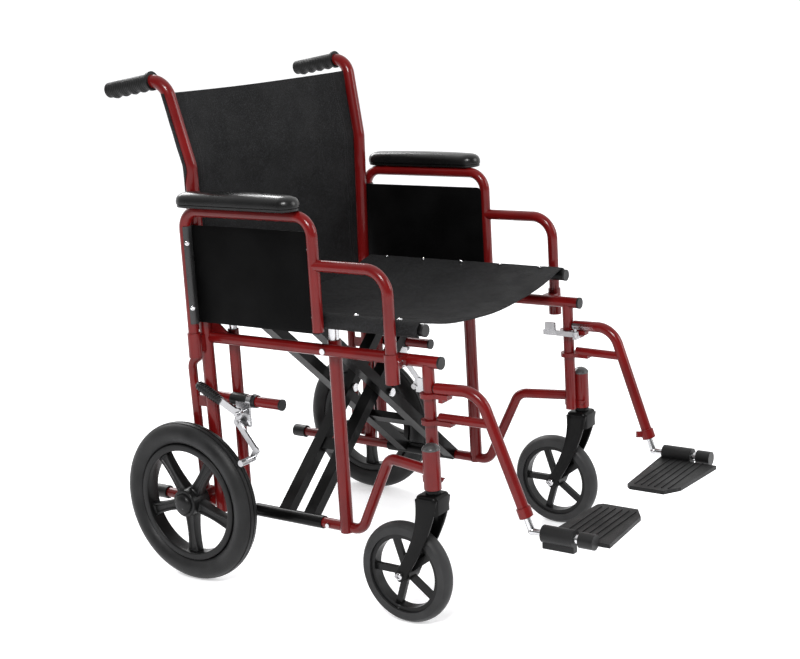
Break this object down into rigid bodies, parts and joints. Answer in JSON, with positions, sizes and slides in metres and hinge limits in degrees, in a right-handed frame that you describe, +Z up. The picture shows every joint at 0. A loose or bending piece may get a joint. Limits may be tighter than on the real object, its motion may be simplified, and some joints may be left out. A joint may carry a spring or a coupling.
{
  "type": "manual wheelchair",
  "caption": "Folding steel-tube transport wheelchair with four small wheels, cross brace, sling seat and back, lift-off armrests, swing-away legrests and flip-up footplates.",
  "frame": {"origin": "on the floor, midway between the wheels of both sides and midway between the push grip ends and the footrest tips", "axes": "+Z up, -Y towards the footrests (front of the chair), +X towards the seated user's left"},
  "size_m": [0.6316, 0.9946, 0.95],
  "materials": {
    "red_paint": "gloss red paint on steel tube",
    "black_paint": "satin black paint on steel",
    "bright_steel": "bright plated steel",
    "sling_fabric": "coated black nylon",
    "arm_pad_foam": "black skinned foam",
    "skirt_panel": "black vinyl covered panel",
    "grip_rubber": "ribbed black grip",
    "plug_rubber": "black caps and tips",
    "tyre_rubber": "dark grey solid tyre",
    "caster_rubber": "grey solid tyre",
    "black_plastic": "moulded black plastic",
    "foot_plastic": "moulded black plastic with ribs"
  },
  "bodies": {
    "right_frame": {"right_back_cane": "red_paint", "right_grip": "grip_rubber", "right_upper_rail": "red_paint", "right_guide_tubes": "red_paint", "right_front_column": "red_paint", "right_lower_rail": "red_paint", "right_wheel_carrier": "red_paint", "right_brackets": "red_paint", "right_plugs": "plug_rubber", "right_bolts": "bright_steel", "right_brake_clamp": "bright_steel", "back_sling": "sling_fabric"},
    "left_frame": {"left_back_cane": "red_paint", "left_grip": "grip_rubber", "left_upper_rail": "red_paint", "left_guide_tubes": "red_paint", "left_front_column": "red_paint", "left_lower_rail": "red_paint", "left_wheel_carrier": "red_paint", "left_brackets": "red_paint", "left_plugs": "plug_rubber", "left_bolts": "bright_steel", "left_brake_clamp": "bright_steel"},
    "cross_a": {"cross_a": "black_paint", "cross_bolts": "bright_steel"},
    "cross_b": {"cross_b": "black_paint"},
    "left_seat_rail": {"left_seat_rail": "black_paint"},
    "right_seat_rail": {"right_seat_rail": "black_paint", "seat_sling": "sling_fabric"},
    "left_rear_wheel": {"left_rear_tyre": "tyre_rubber", "left_rear_rim": "black_plastic"},
    "left_caster_fork": {"left_caster_fork": "black_paint"},
    "left_caster_wheel": {"left_caster_tyre": "caster_rubber", "left_caster_rim": "black_plastic"},
    "left_armrest": {"left_arm_frame": "red_paint", "left_arm_pad": "arm_pad_foam", "left_skirt": "skirt_panel"},
    "left_brake_lever": {"left_brake_lever": "bright_steel", "left_brake_grip": "black_plastic"},
    "left_brake_shoe": {"left_brake_shoe": "bright_steel"},
    "left_hanger": {"left_hanger": "red_paint"},
    "left_release_lever": {"left_release_lever": "bright_steel"},
    "left_foot_post": {"left_foot_post": "bright_steel"},
    "left_footplate": {"left_footplate": "foot_plastic"},
    "right_rear_wheel": {"right_rear_tyre": "tyre_rubber", "right_rear_rim": "black_plastic"},
    "right_caster_fork": {"right_caster_fork": "black_paint"},
    "right_caster_wheel": {"right_caster_tyre": "caster_rubber", "right_caster_rim": "black_plastic"},
    "right_armrest": {"right_arm_frame": "red_paint", "right_arm_pad": "arm_pad_foam", "right_skirt": "skirt_panel"},
    "right_brake_lever": {"right_brake_lever": "bright_steel", "right_brake_grip": "black_plastic"},
    "right_brake_shoe": {"right_brake_shoe": "bright_steel"},
    "right_hanger": {"right_hanger": "red_paint"},
    "right_release_lever": {"right_release_lever": "bright_steel"},
    "right_foot_post": {"right_foot_post": "bright_steel"},
    "right_footplate": {"right_footplate": "foot_plastic"}
  },
  "joints": [
    {"name": "fold", "type": "hinge", "parent": "right_frame", "child": "cross_a", "pos_m": [-0.216, 0.12928, 0.128], "axis": [0, -1, 0], "range_deg": [0, 34.03], "deforming": ["seat_sling", "back_sling"]},
    {"name": "cross_pivot", "type": "hinge", "parent": "cross_a", "child": "cross_b", "pos_m": [0, 0.12928, 0.3175], "axis": [0, -1, 0], "range_deg": [-69.06, 1]},
    {"name": "left_frame_pivot", "type": "hinge", "parent": "cross_b", "child": "left_frame", "pos_m": [0.216, 0.12928, 0.128], "axis": [0, -1, 0], "range_deg": [-1, 35.03]},
    {"name": "left_seat_pivot", "type": "hinge", "parent": "cross_a", "child": "left_seat_rail", "pos_m": [0.216, 0.12928, 0.507], "axis": [0, -1, 0], "range_deg": [-35.03, 1]},
    {"name": "right_seat_pivot", "type": "hinge", "parent": "cross_b", "child": "right_seat_rail", "pos_m": [-0.216, 0.12928, 0.507], "axis": [0, -1, 0], "range_deg": [-1, 35.03]},
    {"name": "left_rear_wheel_spin", "type": "hinge", "parent": "left_frame", "child": "left_rear_wheel", "pos_m": [0.2835, 0.34328, 0.1524], "axis": [1, 0, 0], "continuous": true},
    {"name": "left_caster_swivel", "type": "hinge", "parent": "left_frame", "child": "left_caster_fork", "pos_m": [0.264, -0.19422, 0.249], "axis": [0, 0, 1], "continuous": true},
    {"name": "left_caster_spin", "type": "hinge", "parent": "left_caster_fork", "child": "left_caster_wheel", "pos_m": [0.264, -0.13122, 0.0905], "axis": [1, 0, 0], "continuous": true},
    {"name": "left_armrest_lift", "type": "slide", "parent": "left_frame", "child": "left_armrest", "axis": [0, 0, 1], "range_m": [0, 0.06]},
    {"name": "left_brake_lever", "type": "hinge", "parent": "left_frame", "child": "left_brake_lever", "pos_m": [0.27, 0.22328, 0.331], "axis": [1, 0, 0], "range_deg": [0, 55]},
    {"name": "left_brake_shoe", "type": "hinge", "parent": "left_frame", "child": "left_brake_shoe", "pos_m": [0.259, 0.23228, 0.312], "axis": [1, 0, 0], "range_deg": [-0.5, 8.5]},
    {"name": "left_legrest_swing", "type": "hinge", "parent": "left_frame", "child": "left_hanger", "pos_m": [0.242, -0.18272, 0.382], "axis": [0, 0, 1], "range_deg": [0, 90]},
    {"name": "left_release_lever", "type": "hinge", "parent": "left_hanger", "child": "left_release_lever", "pos_m": [0.222, -0.20872, 0.405], "axis": [0, 0, 1], "range_deg": [0, 12], "stiffness_Nm_per_rad": 0.4},
    {"name": "left_footrest_height", "type": "slide", "parent": "left_hanger", "child": "left_foot_post", "axis": [-0.04, -0.3425, -0.9386], "range_m": [-0.015, 0.06]},
    {"name": "left_footplate_flip", "type": "hinge", "parent": "left_foot_post", "child": "left_footplate", "pos_m": [0.23023, -0.41329, 0.19], "axis": [0, 1, 0], "range_deg": [-0.5, 90.5]},
    {"name": "right_rear_wheel_spin", "type": "hinge", "parent": "right_frame", "child": "right_rear_wheel", "pos_m": [-0.2835, 0.34328, 0.1524], "axis": [1, 0, 0], "continuous": true},
    {"name": "right_caster_swivel", "type": "hinge", "parent": "right_frame", "child": "right_caster_fork", "pos_m": [-0.264, -0.19422, 0.249], "axis": [0, 0, 1], "continuous": true},
    {"name": "right_caster_spin", "type": "hinge", "parent": "right_caster_fork", "child": "right_caster_wheel", "pos_m": [-0.264, -0.13122, 0.0905], "axis": [1, 0, 0], "continuous": true},
    {"name": "right_armrest_lift", "type": "slide", "parent": "right_frame", "child": "right_armrest", "axis": [0, 0, 1], "range_m": [0, 0.06]},
    {"name": "right_brake_lever", "type": "hinge", "parent": "right_frame", "child": "right_brake_lever", "pos_m": [-0.27, 0.22328, 0.331], "axis": [1, 0, 0], "range_deg": [0, 55]},
    {"name": "right_brake_shoe", "type": "hinge", "parent": "right_frame", "child": "right_brake_shoe", "pos_m": [-0.259, 0.23228, 0.312], "axis": [1, 0, 0], "range_deg": [-0.5, 8.5]},
    {"name": "right_legrest_swing", "type": "hinge", "parent": "right_frame", "child": "right_hanger", "pos_m": [-0.242, -0.18272, 0.382], "axis": [0, 0, -1], "range_deg": [0, 90]},
    {"name": "right_release_lever", "type": "hinge", "parent": "right_hanger", "child": "right_release_lever", "pos_m": [-0.222, -0.20872, 0.405], "axis": [0, 0, -1], "range_deg": [0, 12], "stiffness_Nm_per_rad": 0.4},
    {"name": "right_footrest_height", "type": "slide", "parent": "right_hanger", "child": "right_foot_post", "axis": [0.04, -0.3425, -0.9386], "range_m": [-0.015, 0.06]},
    {"name": "right_footplate_flip", "type": "hinge", "parent": "right_foot_post", "child": "right_footplate", "pos_m": [-0.23023, -0.41329, 0.19], "axis": [0, -1, 0], "range_deg": [-0.5, 90.5]}
  ],
  "couplings": [
    {"joint": "cross_pivot", "follows": "fold", "ratio": -2},
    {"joint": "left_frame_pivot", "follows": "fold", "ratio": 1},
    {"joint": "left_seat_pivot", "follows": "fold", "ratio": -1},
    {"joint": "right_seat_pivot", "follows": "fold", "ratio": 1},
    {"joint": "left_brake_shoe", "follows": "left_brake_lever", "ratio": 0.14545},
    {"joint": "left_footplate_flip", "follows": "fold", "ratio": 2.6447},
    {"joint": "right_brake_shoe", "follows": "right_brake_lever", "ratio": 0.14545},
    {"joint": "right_footplate_flip", "follows": "fold", "ratio": 2.6447}
  ]
}
